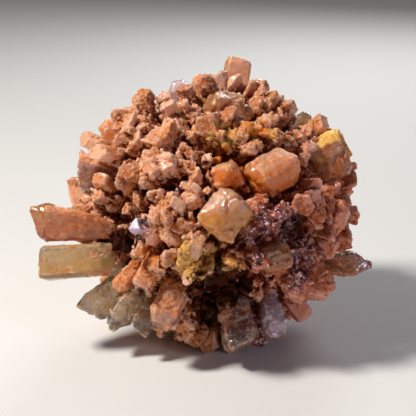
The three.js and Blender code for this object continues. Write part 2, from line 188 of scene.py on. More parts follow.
# Each large crystal's look, how much of it is under dust, how much more lies on its top, and how
# broken its faces are.
CRYSTALS = {
    "left_prism": ("straw", 0.0, 0.0, 0.25),
    "left_blade": ("orange", 0.1, 0.2, 0.5),
    "left_knob": ("rose", 0.25, 0.55, 1.5),
    "shoulder_tooth": ("peach", 0.3, 0.3, 0.6),
    "violet_point": ("violet", 0.05, 0.0, 0.4),
    "top_left_prism": ("peach", 0.35, 0.2, 0.7),
    "top_prism": ("peach", 0.12, 0.05, 0.3),
    "top_right_prism": ("peach", 0.35, 0.2, 0.6),
    "crown_crystal": ("orange", 0.12, 0.15, 1.4),
    "upper_right_prism": ("straw", 0.25, 0.1, 0.5),
    "yellow_block": ("ochre", 0.0, 1.0, 1.3),
    "amber_crystal": ("amber", 0.05, 0.25, 1.3),
    "peach_crystal": ("amber", 0.08, 0.25, 1.1),
    "center_crystal": ("peach", 0.08, 0.1, 1.1),
    "lower_amber": ("orange", 0.1, 0.1, 1.2),
    "front_finger": ("rose", 0.5, 0.2, 0.8),
    "left_bar": ("rose", 0.6, 0.2, 0.9),
    "left_tablet": ("rose", 0.8, 0.1, 0.6),
    "clear_blade": ("clear", 0.05, 0.05, 0.9),
    "clear_point": ("clear", 0.0, 0.05, 1.0),
    "clear_tablet": ("clear", 0.05, 0.1, 1.1),
    "lower_crystal": ("smoky", 0.2, 0.1, 1.6),
    "lower_glint": ("lilac", 0.12, 0.0, 1.6),
    "right_spur": ("smoky", 0.05, 0.1, 0.8),
    "back_left_prism": ("peach", 0.3, 0.2, 0.7),
    "back_blade": ("orange", 0.25, 0.2, 0.6),
    "back_right_block": ("straw", 0.25, 0.2, 0.7),
    "back_low_point": ("clear", 0.15, 0.1, 0.5),
    "back_top_stub": ("rose", 0.4, 0.2, 0.9),
}

# Patches of the crust. Each has a place that the viewer sees and a radius, all in millimetres: the
# place is how far it is to the right of the middle, above it and nearer than it. The violet patches
# are clean, wine-coloured and full of drusy crystals with painted glints, and the recesses are sunk
# deep and darkened with painted shade.
OCHRE_STAINS = [
    ((-1.7, -5.6, 14.2), 3.2),
    ((2.0, -6.5, 14.4), 1.8),
    ((1.0, 8.2, 12.4), 2.0),
    ((5.4, 9.6, 10.6), 2.2),
]
VIOLET_STAINS = [
    ((6.6, -2.8, 13.2), 4.4),
    ((9.8, -6.0, 12.0), 3.4),
    ((6.0, -14.2, 8.0), 4.2),
    ((-8.4, -2.0, 13.4), 1.7),
]
AMBER_STAINS = [
    ((5.0, 9.6, 11.5), 1.7),
    ((1.0, 6.2, 13.4), 1.2),
    ((7.4, -6.4, 12.0), 1.3),
    ((-7.6, -5.4, 12.6), 1.2),
]
# The side away from the key light, multiplied redder and darker: partly a redder clay, partly painted shade
REDDER_SHADED_SIDE = [((13.0, -5.0, 9.0), 13.0)]
RECESSES = [
    ((0.9, -10.9, 12.6), 4.6),
    ((-12.8, -4.2, 11.2), 3.6),
    ((9.6, -2.2, 12.4), 2.0),
]

# Small clean crystals whose flat ends face halfway between the viewer and the light: how far each is
# to the right of the middle and above it, and its width, all in millimetres.
GLINTS = [
    (-8.6, -2.0, 2.0),
    (-2.8, 7.1, 0.9),
    (6.5, -2.8, 0.9),
    (8.1, -3.2, 0.7),
    (5.1, -4.2, 0.8),
    (5.6, -1.4, 0.6),
    (9.9, -5.9, 0.8),
    (7.1, -6.0, 0.6),
    (-4.0, 2.2, 0.6),
    (-11.4, 4.4, 0.6),
    (2.2, -8.3, 0.7),
]
GLINT_DIRECTION = (-0.335, 0.40, 0.853)  # to the right, up and towards the viewer
GLINT_ROOT = 1.5  # how deep a glint's foot lies in the mass, in millimetres
OUTSIDE = 30  # a distance from the middle that is past every crystal, in millimetres


def seen(place):
    """A point from how far it is to the right of the middle, above it and nearer than it, in mm."""
    right, above, nearer = place
    return MIDDLE + MM * (right * TO_RIGHT + above * TO_TOP + nearer * TO_VIEWER)


# Noise


def hashed(cells, seed):
    """A random number from 0 to 1 for each whole-numbered cell."""
    n = cells[..., 0] * 374761393 + cells[..., 1] * 668265263 + cells[..., 2] * 1274126177
    n = (n + seed * 144269504) & 0xFFFFFFFF
    n = ((n ^ (n >> 13)) * 1103515245) & 0xFFFFFFFF
    n = ((n ^ (n >> 15)) * 668265263) & 0xFFFFFFFF
    return ((n ^ (n >> 16)) & 0xFFFFFF) / float(0xFFFFFF)


def smooth_noise(points, scale, seed):
    """Noise from 0 to 1 that changes smoothly over a distance of scale."""
    p = points / scale + 0.37 * seed
    cells = np.floor(p).astype(np.int64)
    f = p - cells
    f = f * f * (3 - 2 * f)
    total = np.zeros(len(points))
    for corner in np.ndindex(2, 2, 2):
        weight = np.prod(np.where(corner, f, 1 - f), axis=1)
        total += weight * hashed(cells + np.array(corner), seed)
    return total


def layered_noise(points, scale, seed, layers=3):
    """Smooth noise with finer and weaker layers on it, from 0 to 1."""
    total = np.zeros(len(points))
    weight_sum = 0.0
    for layer in range(layers):
        weight = 0.55**layer
        total += weight * smooth_noise(points, scale * 0.47**layer, seed + 7 * layer)
        weight_sum += weight
    return total / weight_sum


def grain_noise(points, scale, seed):
    """Rounded grains of about the size scale: 1 at a grain's middle and 0 between grains."""
    p = points / scale
    cells = np.floor(p).astype(np.int64)
    nearest = np.full(len(points), 9.0)
    for step in np.ndindex(3, 3, 3):
        cell = cells + np.array(step) - 1
        centre = cell + np.stack([hashed(cell, seed + k) for k in range(3)], axis=1)
        nearest = np.minimum(nearest, ((p - centre) ** 2).sum(axis=1))
    return np.clip(1 - nearest / 0.9, 0, 1)


def chips(points, scale, seed):
    """Height of broken ground, from about -1 to 1: cells of about the size scale, each with a flat
    face that slopes its own way."""
    p = points / scale
    cells = np.floor(p).astype(np.int64)
    nearest = np.full(len(points), 9.0)
    height = np.zeros(len(points))
    for step in np.ndindex(3, 3, 3):
        cell = cells + np.array(step) - 1
        centre = cell + np.stack([hashed(cell, seed + k) for k in range(3)], axis=1)
        slope = np.stack([hashed(cell, seed + 3 + k) for k in range(3)], axis=1) * 2 - 1
        away = p - centre
        distance = (away**2).sum(axis=1)
        closer = distance < nearest
        nearest[closer] = distance[closer]
        face = (away * slope).sum(axis=1) + 0.7 * (hashed(cell, seed + 6) * 2 - 1)
        height[closer] = face[closer]
    return height


def between(limits, share):
    """A number between two limits: the first where share is 0, the second where it is 1."""
    return limits[0] + (limits[1] - limits[0]) * share


def ramp(values, low, high):
    """0 below low, 1 above high, and smooth between them."""
    t = np.clip((values - low) / (high - low), 0, 1)
    return t * t * (3 - 2 * t)


# Mesh arrays


class Parts:
    """Vertices, faces and one kind and random number per face, gathered from many small shapes."""

    def __init__(self):
        self.vertices = []
        self.faces = []
        self.kinds = []
        self.tints = []
        self.count = 0

    def add(self, vertices, faces, kind, tint):
        """One more shape, with one kind, and one number or one for each face."""
        self.vertices.append(np.asarray(vertices))
        self.faces.extend(tuple(i + self.count for i in face) for face in faces)
        self.kinds.extend([kind] * len(faces))
        self.tints.extend(np.broadcast_to(tint, len(faces)))
        self.count += len(vertices)

    def arrays(self):
        """Everything that was added: vertices, faces, kinds and random numbers."""
        return np.concatenate(self.vertices), self.faces, np.array(self.kinds), np.array(self.tints)


def mesh_arrays(mesh):
    """A mesh's vertices as an array and its faces as lists of vertex numbers."""
    vertices = np.empty(len(mesh.vertices) * 3)
    mesh.vertices.foreach_get("co", vertices)
    return vertices.reshape(-1, 3), [tuple(polygon.vertices) for polygon in mesh.polygons]


def triangle_normals(corners):
    """A normal for each triangle, twice as long as its area."""
    return np.cross(corners[:, 1] - corners[:, 0], corners[:, 2] - corners[:, 0])


def facet_tints(vertices, faces):
    """One random number per flat facet: triangles in one plane share it."""
    corners = vertices[np.array([face[:3] for face in faces])]
    normals = triangle_normals(corners)
    normals /= np.maximum(np.linalg.norm(normals, axis=1, keepdims=True), 1e-12)
    depth = (corners[:, 0] * normals).sum(axis=1, keepdims=True) / (0.4 * MM)
    keys = np.round(np.hstack([normals * 12, depth])).astype(np.int64)
    return hashed(keys[:, :3] + keys[:, 3:] * 5, seed=3)


def remeshed(vertices, faces, voxel):
    """The outside of a heap of closed shapes as one fine surface."""
    mesh = bpy.data.meshes.new("heap")
    mesh.from_pydata([tuple(v) for v in vertices], [], faces)
    heap = bpy.data.objects.new("heap", mesh)
    bpy.context.scene.collection.objects.link(heap)
    remesh = heap.modifiers.new("surface", "REMESH")
    remesh.mode = "VOXEL"
    remesh.voxel_size = voxel
    heap.modifiers.new("triangles", "TRIANGULATE")
    evaluated = heap.evaluated_get(bpy.context.evaluated_depsgraph_get())
    fine, triangles = mesh_arrays(evaluated.to_mesh())
    evaluated.to_mesh_clear()
    bpy.data.objects.remove(heap)
    bpy.data.meshes.remove(mesh)
    return fine, np.array(triangles)


def outer_shell(vertices, triangles):
    """The largest connected surface, without the pockets that lie closed off inside it."""
    ends = triangles[:, [0, 1, 1, 2, 2, 0]].reshape(-1, 2)
    labels = np.arange(len(vertices))
    while True:
        lowest = labels.copy()
        np.minimum.at(lowest, ends[:, 0], labels[ends[:, 1]])
        np.minimum.at(lowest, ends[:, 1], labels[ends[:, 0]])
        lowest = lowest[lowest]
        if np.array_equal(lowest, labels):
            break
        labels = lowest
    kept = triangles[labels[triangles[:, 0]] == np.bincount(labels).argmax()]
    used, renumbered = np.unique(kept, return_inverse=True)
    return vertices[used], renumbered.reshape(-1, 3)


def vertex_normals(vertices, triangles):
    """A unit normal for each vertex, from the triangles round it by their areas."""
    face_normals = triangle_normals(vertices[triangles])
    normals = np.zeros_like(vertices)
    for k in range(3):
        np.add.at(normals, triangles[:, k], face_normals)
    return normals / np.maximum(np.linalg.norm(normals, axis=1, keepdims=True), 1e-15)


def with_facets(normals, face_normals, share):
    """Normals turned towards those of the flat faces that the surface came from."""
    turned = normals + face_normals * np.reshape(share, (-1, 1))
    return turned / np.maximum(np.linalg.norm(turned, axis=1, keepdims=True), 1e-9)


def relaxed(values, triangles, rounds):
    """Values at vertices, each moved to the mean of its neighbours a number of times."""
    count = len(values)
    ends = np.concatenate([triangles[:, [0, 1]], triangles[:, [1, 2]], triangles[:, [2, 0]]])
    degree = np.bincount(ends.ravel(), minlength=count).astype(float)
    values = values.reshape(count, -1)
    for _ in range(rounds):
        total = np.zeros_like(values)
        for k in range(values.shape[1]):
            total[:, k] += np.bincount(ends[:, 0], values[ends[:, 1], k], count)
            total[:, k] += np.bincount(ends[:, 1], values[ends[:, 0], k], count)
        values = 0.5 * values + 0.5 * total / degree[:, None]
    return values.squeeze()


def nearest_on(tree, points):
    """For each point the nearest place on the tree's surface, that face's normal and its number."""
    places = np.empty_like(points)
    normals = np.empty_like(points)
    indices = np.empty(len(points), dtype=np.int64)
    for i, point in enumerate(points):
        places[i], normals[i], indices[i], _ = tree.find_nearest(point)
    return places, normals, indices


def make_piece(name, vertices, triangles, normals, masks, material):
    """A mesh object with smooth normals and a number per vertex for each mask."""
    mesh = bpy.data.meshes.new(name)
    mesh.from_pydata(vertices.tolist(), [], triangles.tolist(), shade_flat=False)
    mesh.validate()
    mesh.normals_split_custom_set_from_vertices([tuple(n) for n in normals])
    for mask, values in masks.items():
        attribute = mesh.attributes.new(mask, "FLOAT", "POINT")
        attribute.data.foreach_set("value", values.astype(np.float32))
    mesh.materials.append(material)
    piece = bpy.data.objects.new(name, mesh)
    bpy.context.scene.collection.objects.link(piece)
    return piece


# Small shapes


def random_turn(rng):
    """A random rotation as a 3 by 3 array."""
    q = rng.normal(size=4)
    w, x, y, z = q / np.linalg.norm(q)
    return np.array(
        [
            [1 - 2 * (y * y + z * z), 2 * (x * y - z * w), 2 * (x * z + y * w)],
            [2 * (x * y + z * w), 1 - 2 * (x * x + z * z), 2 * (y * z - x * w)],
            [2 * (x * z - y * w), 2 * (y * z + x * w), 1 - 2 * (x * x + y * y)],
        ]
    )


def icosahedron():
    """The corners and faces of an icosahedron whose corners are 1 from its middle."""
    golden = (1 + math.sqrt(5)) / 2
    corners = []
    for a in (-1, 1):
        for b in (-golden, golden):
            corners += [(a, b, 0), (0, a, b), (b, 0, a)]
    corners = np.array(corners) / math.hypot(1, golden)
    edge = 2 / math.hypot(1, golden)
    faces = []
    for i, j, k in itertools.combinations(range(12), 3):
        sides = [corners[i] - corners[j], corners[j] - corners[k], corners[k] - corners[i]]
        if all(abs(np.linalg.norm(side) - edge) < 1e-6 for side in sides):
            out = np.dot(np.cross(sides[0], sides[1]), corners[i]) > 0
            faces.append((i, j, k) if out else (i, k, j))
    return corners, faces


CRUMB_CORNERS, CRUMB_FACES = icosahedron()


def crumb(centre, radius, rng):
    """An angular lump: corner points of an icosahedron pushed in and out, then squashed."""
    corners = CRUMB_CORNERS * rng.uniform(0.55, 1.35, (12, 1)) * rng.uniform(0.6, 1.15, 3)
    return centre + radius * corners @ random_turn(rng).T


def prism_faces(sides, rings):
    """The faces of a closed prism whose corners lie in rings from its foot to its end."""
    faces = [tuple(reversed(range(sides)))]
    for ring in range(rings - 1):
        for i in range(sides):
            j = (i + 1) % sides
            low, high = ring * sides, (ring + 1) * sides
            faces.append((low + i, low + j, high + j, high + i))
    faces.append(tuple(range((rings - 1) * sides, rings * sides)))
    return faces


def fine_crystal(root, along, width, length, rng, slope=0.7, sides=None):
    """A small prism with four or six sides. It ends in a break that slopes, or in a narrow point."""
    side = np.cross(along, rng.normal(size=3))
    side /= np.linalg.norm(side)
    other = np.cross(along, side)
    flatness = rng.uniform(0.55, 0.95)
    tilt_a, tilt_b = rng.uniform(-slope, slope, 2)
    sides = sides or (4 if rng.random() < 0.6 else 6)
    pointed = slope > 0 and rng.random() < 0.4
    end_share = rng.uniform(0.2, 0.6) if pointed else rng.uniform(0.75, 1.0)
    shoulder = length - rng.uniform(0.1, 0.5) * width
    points = []
    for reach, share in ((0.0, 0.85), (shoulder, 1.0), (length, end_share)):
        for corner in range(sides):
            angle = 2 * math.pi * (corner + 0.5) / sides
            a = 0.58 * width * share * math.cos(angle)
            b = 0.58 * width * share * flatness * math.sin(angle)
            lift = tilt_a * a + tilt_b * b if reach > 0 else 0.0
            points.append(root + side * a + other * b + along * (reach + lift))
    return np.array(points), prism_faces(sides, 3)


# The crust of the crystal mass


def surface_samples(vertices, faces, count, rng):
    """Random points on a mesh's triangles, evenly by area, with their normals."""
    triangles = [(face[0], face[i], face[i + 1]) for face in faces for i in range(1, len(face) - 1)]
    triangles = np.array(triangles)
    corners = vertices[triangles]
    normals = triangle_normals(corners)
    areas = np.linalg.norm(normals, axis=1)
    chosen = rng.choice(len(triangles), count, p=areas / areas.sum())
    a = np.sqrt(rng.random((count, 1)))
    b = rng.random((count, 1))
    c = corners[chosen]
    points = (1 - a) * c[:, 0] + a * (1 - b) * c[:, 1] + a * b * c[:, 2]
    return points, normals[chosen] / areas[chosen, None]


def large_crystal_tree(nodes):
    """A search tree over the surfaces of all the large crystals."""
    vertices, faces, start = [], [], 0
    for name in CRYSTALS:
        points, polygons = mesh_arrays(nodes[name].data)
        vertices.append(points)
        faces += [tuple(i + start for i in polygon) for polygon in polygons]
        start += len(points)
    return BVHTree.FromPolygons([tuple(v) for v in np.concatenate(vertices)], faces)


def farness(point):
    """How far out a point is, as a share of the ball's radius."""
    return np.linalg.norm(point - MIDDLE) / BALL_RADIUS


def in_recess(point):
    return any(np.linalg.norm(point - seen(place)) < radius * MM for place, radius in RECESSES)


def at_glint(point):
    """Whether the viewer sees a point where a glint is."""
    right, above, nearer = (point - MIDDLE) @ np.array([TO_RIGHT, TO_TOP, TO_VIEWER]).T / MM
    return nearer > 0 and any(
        math.hypot(right - glint_right, above - glint_above) < 0.5 * width
        for glint_right, glint_above, width in GLINTS
    )


class Ground:
    """The mass, the large crystals in it, and the heap of what grows on it."""

    def __init__(self, nodes):
        self.rng = np.random.default_rng(SEED)
        self.vertices, self.faces = mesh_arrays(nodes["crystal_mass"].data)
        self.crystals = large_crystal_tree(nodes)
        self.heap = Parts()
        self.heap.add(self.vertices, self.faces, MASS_FACE, facet_tints(self.vertices, self.faces))

    def samples(self, count):
        return surface_samples(self.vertices, self.faces, count, self.rng)

    def gap(self, point):
        """The distance from a point to the nearest large crystal."""
        return self.crystals.find_nearest(point)[3]

    def add_fine_crystal(self, point, normal, width, length):
        """A fine crystal that points outwards and has its root below the surface."""
        out = (point - MIDDLE) / np.linalg.norm(point - MIDDLE)
        along = out + 0.35 * normal + self.rng.normal(size=3) * 0.22
        along /= np.linalg.norm(along)
        root = point - along * 0.35 * length
        crystal = fine_crystal(root, along, width, length, self.rng)
        self.heap.add(*crystal, FINE_FACE, self.rng.random())

    def add_crumb(self, centre, radius):
        self.heap.add(crumb(centre, radius, self.rng), CRUMB_FACES, CRUMB_FACE, self.rng.random())


def add_glints(ground):
    """Short three-sided crystals whose flat ends catch the light."""
    mass = BVHTree.FromPolygons([tuple(v) for v in ground.vertices], ground.faces)
    across = np.array(GLINT_DIRECTION) @ np.array([TO_RIGHT, TO_TOP, TO_VIEWER])
    for right, above, width in GLINTS:
        place = mass.ray_cast(Vector(seen((right, above, OUTSIDE))), Vector(-TO_VIEWER))[0]
        root = np.array(place) - across * GLINT_ROOT * MM
        length = (1.8 + 0.3 * width) * MM
        glint = fine_crystal(root, across, width * MM, length, ground.rng, slope=0.0, sides=3)
        ground.heap.add(*glint, GLINT_FACE, 1.0)


def add_fine_crystals(ground):
    """Many small ones and a few large, clear of the floor, large crystals, recesses and glints."""
    placed = 0
    for point, normal in zip(*ground.samples(FINE_COUNT * 5)):
        if placed >= FINE_COUNT:
            break
        if farness(point) > ground.rng.uniform(0.8, 1.0) or point[2] < FINE_CLEARANCE:
            continue
        if ground.gap(point) < CRYSTAL_CLEARANCE or in_recess(point) or at_glint(point):
            continue
        size = ground.rng.random() ** 2.2
        width = between(FINE_WIDTH, size)
        length = between(FINE_LENGTH, max(size, ground.rng.random() * 0.6))
        ground.add_fine_crystal(point, normal, width, length)
        placed += 1


def add_drusy_crystals(ground):
    """Small crystals side by side in the violet patches."""
    placed = 0
    points, normals = ground.samples(DRUSY_COUNT * 40)
    drusy = stain_mask(points, VIOLET_STAINS) > 0.5
    for point, normal in zip(points[drusy], normals[drusy]):
        if placed >= DRUSY_COUNT:
            break
        if ground.gap(point) < CRYSTAL_CLEARANCE or at_glint(point):
            continue
        width = ground.rng.uniform(*DRUSY_WIDTH)
        ground.add_fine_crystal(point, normal, width, width * ground.rng.uniform(1.2, 2.2))
        placed += 1


def add_crumbs(ground):
    """Clay crumbs, most of them in the hollows."""
    for point, normal in zip(*ground.samples(CRUMB_COUNT)):
        far = farness(point)
        if ground.rng.random() < ramp(far, 0.8, 0.95) * 0.97 or point[2] < CRUMB_CLEARANCE:
            continue
        if (ground.gap(point) < COLLAR_REACH and far < 0.75) or at_glint(point):
            continue
        radius = between(CRUMB_RADIUS, ground.rng.random() ** 1.6)
        ground.add_crumb(point + normal * radius * 0.2, radius)


def add_collars(ground):
    """Crumbs round the feet of the large crystals."""
    placed = 0
    for point in ground.samples(COLLAR_COUNT * 8)[0]:
        if placed >= COLLAR_COUNT:
            break
        if farness(point) < 0.68 or point[2] < CRUMB_CLEARANCE or ground.gap(point) > COLLAR_REACH:
            continue
        ground.add_crumb(point, ground.rng.uniform(*COLLAR_RADIUS) * MM)
        placed += 1


def crust_heap(nodes):
    """The mass and all that grows on it, as one heap of closed shapes."""
    ground = Ground(nodes)
    add_glints(ground)
    add_fine_crystals(ground)
    add_drusy_crystals(ground)
    add_crumbs(ground)
    add_collars(ground)
    return ground.heap.arrays()


def stain_mask(points, stains):
    """1 in the middle of a stain and 0 outside all of them, with a ragged edge."""
    ragged = (layered_noise(points, 1.1 * MM, seed=90) - 0.5) * 1.1
    mask = np.zeros(len(points))
    for place, radius in stains:
        offset = points - seen(place)
        offset -= 0.6 * (offset @ TO_VIEWER)[:, None] * TO_VIEWER
        distance = np.linalg.norm(offset, axis=1) / (radius * MM)
        mask = np.maximum(mask, 1 - ramp(distance + ragged, 0.7, 1.1))
    return mask


def crystal_tints(points, facet):
    """A random number that hardly changes along a crystal, with a share that is the facet's own."""
    out = points - MIDDLE
    out = out / np.linalg.norm(out, axis=1, keepdims=True) * BALL_RADIUS
    ragged = layered_noise(points, 1.0 * MM, seed=77)[:, None] - 0.5
    cell = np.floor((out + 0.5 * MM * ragged) / (2.3 * MM))
    return 0.6 * hashed(cell.astype(np.int64), seed=5) + 0.4 * facet


def clay_relief(points, seed):
    """Height of crumbly clay, in metres: broken lumps, grains and cracks between them."""
    lumps = chips(points, 0.95 * MM, seed)
    grains = grain_noise(points, 0.45 * MM, seed + 10)
    cracks = ramp(1 - np.abs(2 * layered_noise(points, 0.7 * MM, seed + 20) - 1), 0.86, 1.0)
    return (0.27 * lumps + 0.22 * (grains - 0.45) - 0.22 * cracks) * MM


def hollowness(vertices, triangles, normals, rounds):
    """How far each vertex lies below the smoothed surface, in metres."""
    broad = relaxed(vertices, triangles, rounds)
    return ((broad - vertices) * normals).sum(axis=1)


def crust_surface(nodes):
    """The crust's fine surface, and for each vertex the normal, kind and random number of the face
    in the heap that it came from."""
    heap_vertices, heap_faces, kinds, tints = crust_heap(nodes)
    vertices, triangles = outer_shell(*remeshed(heap_vertices, heap_faces, CRUST_VOXEL))
    tree = BVHTree.FromPolygons([tuple(v) for v in heap_vertices], heap_faces)
    places, face_normals, indices = nearest_on(tree, vertices)
    vertices = vertices + (places - vertices) * RETURN_SHARE
    return vertices, triangles, face_normals, kinds[indices], tints[indices]


def crust_clay(vertices, triangles, face_normals, kind, far, patches):
    """Where the bare body shows, and how much clay lies there and between the crystals."""
    out = vertices - MIDDLE
    facing_out = (face_normals * out).sum(axis=1) / np.linalg.norm(out, axis=1)
    body = (kind == MASS_FACE) & (facing_out > 0.8) & (far < 0.87)
    clay = 1 - ramp(far + (patches - 0.5) * 0.3, 0.82, 0.96)
    clay = np.where(body | (kind == CRUMB_FACE), np.maximum(clay, 0.75), clay * 0.8)
    return body, relaxed(clay, triangles, 2)


def crust_dust(triangles, face_normals, patches, veil, clay, masks):
    """How much dust lies on each vertex. Most crystals are dusty, and some show clean faces."""
    clean = ramp(masks["tint"] + (veil - 0.5) * 0.7 + (patches - 0.5) * 0.6, 0.40, 0.60)
    clean *= 1 - 0.5 * ramp(face_normals[:, 2], 0.3, 1.0)
    dust = np.clip(1 - clean * (1 - clay), 0, 1) * (1 - 0.95 * masks["violet"]) * (1 - masks["lilac"])
    return relaxed(dust, triangles, 1)


def crust_lift(vertices, triangles, body, clay, masks):
    """How far clay, dust and wear raise each vertex, in metres. The bare body and the recesses sink,
    and the ground where the cluster rests stays flat."""
    dusty_relief = (grain_noise(vertices, 0.38 * MM, seed=31) - 0.4) * 0.17
    dusty_relief += chips(vertices, 0.6 * MM, seed=71) * 0.13
    wear = (layered_noise(vertices, 1.1 * MM, seed=51) - 0.5) * 0.42
    wear += chips(vertices, 1.3 * MM, seed=61) * 0.1
    sunk = 0.55 * relaxed(body * 1.0, triangles, 4) + 1.5 * masks["recess"]
    lift = (1 - 0.7 * masks["violet"]) * clay * clay_relief(vertices, seed=21)
    lift += (masks["dust"] * dusty_relief + wear - sunk) * MM
    return lift * (ramp(vertices[:, 2], 0.1 * MM, 1.2 * MM) * (1 - 0.85 * masks["lilac"]))


def crust_cavity_shade(vertices, triangles, normals, far, recess):
    """How deep each vertex lies in fine, near and wide hollows and below the crystals, from 0 to 1.
    The colour is darkened by it as painted shade.
    """
    fine = ramp(hollowness(vertices, triangles, normals, 3), 0.0, 0.07 * MM)
    near = ramp(hollowness(vertices, triangles, normals, 8), -0.03 * MM, 0.12 * MM)
    wide = ramp(hollowness(vertices, triangles, normals, 60), -0.1 * MM, 0.5 * MM)
    deep = 1 - ramp(far, 0.74, 0.95)
    hollow = 0.4 * fine + 0.4 * near + 0.65 * wide
    return np.clip(hollow + 0.75 * deep + recess - 0.15, 0, 1)


def crust_pieces(vertices, triangles, normals, masks, material):
    """The crust in sectors round the upright axis, with an equal number of triangles in each."""
    centres = vertices[triangles].mean(axis=1)
    turn = (np.arctan2(centres[:, 0], -centres[:, 1]) + math.pi / 4) % (2 * math.pi)
    order = np.argsort(np.argsort(turn))
    sector = order * len(CRUST_SECTORS) // len(order)
    pieces = []
    for number, word in enumerate(CRUST_SECTORS):
        used, renumbered = np.unique(triangles[sector == number], return_inverse=True)
        faces = renumbered.reshape(-1, 3)
        own_masks = {mask: values[used] for mask, values in masks.items()}
        pieces.append(make_piece(f"crust_{word}", vertices[used], faces, normals[used], own_masks, material))
    return pieces


def make_crust(nodes, material):
    """The crust in pieces: flat crystal faces, with clay between them and in the hollows."""
    vertices, triangles, face_normals, kind, facet = crust_surface(nodes)
    far = np.linalg.norm(vertices - MIDDLE, axis=1) / BALL_RADIUS
    patches = layered_noise(vertices, 2.4 * MM, seed=11)
    veil = layered_noise(vertices, 0.9 * MM, seed=12)
    body, clay = crust_clay(vertices, triangles, face_normals, kind, far, patches)
    masks = {
        "tint": crystal_tints(vertices, facet),
        "violet": stain_mask(vertices, VIOLET_STAINS),
        "recess": stain_mask(vertices, RECESSES),
        # The glint faces, which are painted pale lilac as highlight
        "lilac": relaxed((kind == GLINT_FACE) * 1.0, triangles, 1),
    }
    masks["dust"] = crust_dust(triangles, face_normals, patches, veil, clay, masks)

    normals = vertex_normals(relaxed(vertices, triangles, 2), triangles)
    vertices = vertices + normals * crust_lift(vertices, triangles, body, clay, masks)[:, None]
    vertices[:, 2] = np.maximum(vertices[:, 2], 0)

    # Painted shade: the colour darkens with how deep a vertex lies in hollows, below the crystals and in the
    # recesses
    masks["cavity_shade"] = crust_cavity_shade(vertices, triangles, normals, far, masks["recess"])
    # Ridges, which are painted paler as highlight
    masks["edge"] = ramp(-hollowness(vertices, triangles, normals, 4), 0.02 * MM, 0.09 * MM)
    masks["ochre"] = stain_mask(vertices, OCHRE_STAINS)
    masks["amber"] = stain_mask(vertices, AMBER_STAINS)
    # The redder side: partly redder clay, partly painted shade
    masks["wine"] = stain_mask(vertices, REDDER_SHADED_SIDE)
    normals = with_facets(vertex_normals(vertices, triangles), face_normals, 0.7 * (1 - clay))
    return crust_pieces(vertices, triangles, normals, masks, material)


# The large crystals


def crystal_axis(vertices):
    """The crystal's foot, unit direction and length, from the middles of its two ends."""
    centre = vertices.mean(axis=0)
    along = np.linalg.svd(vertices - centre)[2][0]
    if np.dot(along, centre - MIDDLE) < 0:
        along = -along
    reach = (vertices - centre) @ along
    foot = vertices[reach < reach.min() + 0.15 * np.ptp(reach)].mean(axis=0)
    head = vertices[reach > reach.max() - 0.2 * np.ptp(reach)].mean(axis=0)
    along = (head - foot) / np.linalg.norm(head - foot)
    return foot, along, float(((vertices - foot) @ along).max())


def make_crystal(number, name, node, facts, material):
    """The crystal's solid as a fine mesh with worn edges, growth lines along it and dust."""
    _, dustiness, top_dust, breakage = facts
    solid_vertices, solid_faces = mesh_arrays(node.data)
    foot, along, length = crystal_axis(solid_vertices)
    vertices, triangles = remeshed(solid_vertices, solid_faces, CRYSTAL_VOXEL)
    tree = BVHTree.FromPolygons([tuple(v) for v in solid_vertices], solid_faces)
    places, face_normals, _ = nearest_on(tree, vertices)
    seed = 100 + 13 * number
    reach = (vertices - foot) @ along
    share = reach / length

    # Dust gathers at the foot, on top and in patches
    patches = layered_noise(vertices, 1.3 * MM, seed, layers=4)
    upward = ramp(face_normals[:, 2], 0.1, 0.9) * top_dust
    near_foot = 1 - ramp(share, 0.4, 0.85)
    cover = patches + (dustiness - 0.5) * 0.6 + upward + near_foot * 0.22
    dust = ramp(cover, 0.42, 0.62)
    clay = ramp(cover, 0.62, 0.8) * near_foot

    # Flat faces stay flat, and edges are rounded where the voxels cut them
    vertices = vertices + (places - vertices) * RETURN_SHARE
    normals = vertex_normals(relaxed(vertices, triangles, 2), triangles)
    edge = ramp(-hollowness(vertices, triangles, normals, 5), 0.03 * MM, 0.09 * MM)

    # Growth lines run along the crystal: noise that is stretched along it
    across = vertices - foot - reach[:, None] * along
    stretched = across + along * (reach[:, None] * 0.05)
    streaks = layered_noise(stretched, 0.42 * MM, seed + 1)
    waves = layered_noise(vertices, 1.5 * MM, seed + 2) - 0.5
    pits = ramp(layered_noise(vertices, 0.45 * MM, seed + 3), 0.56, 0.7)
    grains = grain_noise(vertices, 0.36 * MM, seed + 4) - 0.4
    breaks = chips(vertices, 2.0 * MM, seed + 6) * 0.22 + chips(vertices, 0.9 * MM, seed + 7) * 0.06
    lift = (streaks - 0.5) * 0.03 + waves * 0.14 - pits * 0.05 + dust * grains * 0.14 + breakage * breaks
    lift = lift * MM + clay * clay_relief(vertices, seed + 5) * 0.7
    vertices = vertices + normals * lift[:, None]
    near_hollow = ramp(hollowness(vertices, triangles, normals, 6), -0.02 * MM, 0.1 * MM)

    # Deep colour shows at the foot. Low in a crystal that lies on its side and on faces that look down
    #     it is painted glow and shade.
    downward = ramp(-face_normals[:, 2], -0.45, 0.45)
    height = across[:, 2] - across[:, 2].min()
    height = height / height.max() + (patches - 0.5) * 0.5
    low = (1 - ramp(height, 0.35, 0.75)) * math.sqrt(1 - along[2] ** 2)
    masks = {
        "dust": dust,
        "tint": patches,
        # Painted shade in hollows and towards the foot, where the crystal goes into the mass
        "cavity_shade": np.clip(0.4 * near_hollow + 0.75 * (1 - ramp(share, 0.15, 0.6)), 0, 1),
        # Ridges, which are painted pale as highlight
        "edge": edge * ramp(layered_noise(vertices, 0.8 * MM, seed + 8), 0.35, 0.6),
        # Deep colour at the foot, and painted glow and shade low down and on downward faces
        "depth": np.clip(0.95 * low + 0.4 * downward + 0.5 * (1 - ramp(share, 0.55, 1.0)), 0, 1),
        "streak": streaks,
    }
    normals = with_facets(vertex_normals(vertices, triangles), face_normals, 0.4 * (1 - dust))
    return make_piece(f"{name}_surface", vertices, triangles, normals, masks, material)


# Materials


